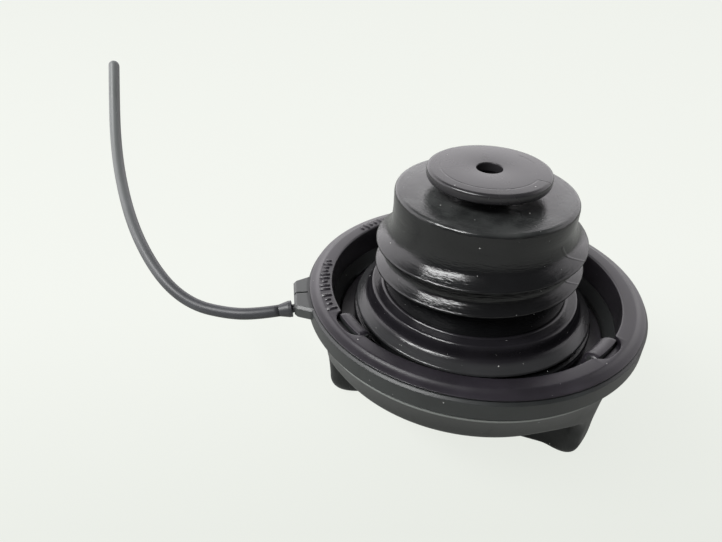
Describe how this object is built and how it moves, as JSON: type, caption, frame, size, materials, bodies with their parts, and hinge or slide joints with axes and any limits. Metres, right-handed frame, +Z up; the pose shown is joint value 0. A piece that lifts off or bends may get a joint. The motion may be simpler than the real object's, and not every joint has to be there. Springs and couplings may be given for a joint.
{
  "type": "fuel filler cap",
  "caption": "Screw-in fuel filler cap with a bar handle, torque-limiting ratchet, lip seal, pressure and vacuum valves, and a loose tether ring with a stiff strand.",
  "frame": {"origin": "centre of the flat end of the bar handle, on the stem's axis", "axes": "+Z up the stem's axis towards its tip, +X along the bar handle"},
  "size_m": [0.1524, 0.0806, 0.0747],
  "materials": {
    "grip_plastic": "fine satin grain, black",
    "ring_plastic": "satin, black, faintly purple grey",
    "stem_plastic": "smooth moulded gloss, black",
    "cover_plastic": "smooth semi-gloss, black",
    "tether_plastic": "satin, black",
    "acetal": "natural acetal, off-white",
    "seal_rubber": "moulded rubber, glossy black",
    "steel": "plated spring steel"
  },
  "bodies": {
    "grip": {"grip_shell": "grip_plastic", "retainer_ring": "ring_plastic", "closure_retainer": "ring_plastic", "pawl_plate": "acetal", "centre_screw": "steel", "screw_washer": "steel"},
    "tether": {"tether_ring": "ring_plastic", "tether_collar": "tether_plastic", "tether_strand": "tether_plastic"},
    "closure": {"closure_stem": "stem_plastic", "ratchet_ring": "acetal", "main_seal": "seal_rubber", "valve_cover": "cover_plastic", "valve_housing": "acetal", "housing_seal": "seal_rubber", "spring_retainer": "acetal", "pressure_spring": "steel"},
    "pressure_valve": {"pressure_plate": "acetal", "pressure_seal": "seal_rubber", "vacuum_spring": "steel"},
    "vacuum_valve": {"vacuum_poppet": "seal_rubber", "vacuum_clip": "steel"}
  },
  "joints": [
    {"name": "closure_spin", "type": "hinge", "parent": "grip", "child": "closure", "pos_m": [0, 0, 0.04], "axis": [0, 0, 1], "continuous": true},
    {"name": "tether_spin", "type": "hinge", "parent": "grip", "child": "tether", "pos_m": [0, 0, 0.034], "axis": [0, 0, 1], "continuous": true},
    {"name": "pressure_valve_slide", "type": "slide", "parent": "closure", "child": "pressure_valve", "axis": [0, 0, -1], "range_m": [0, 0.0025], "stiffness_N_per_m": 120, "springref_m": -0.005, "deforming": ["pressure_spring"]},
    {"name": "vacuum_valve_slide", "type": "slide", "parent": "pressure_valve", "child": "vacuum_valve", "axis": [0, 0, 1], "range_m": [0, 0.0015], "stiffness_N_per_m": 6, "springref_m": -0.002, "deforming": ["vacuum_spring"]}
  ]
}
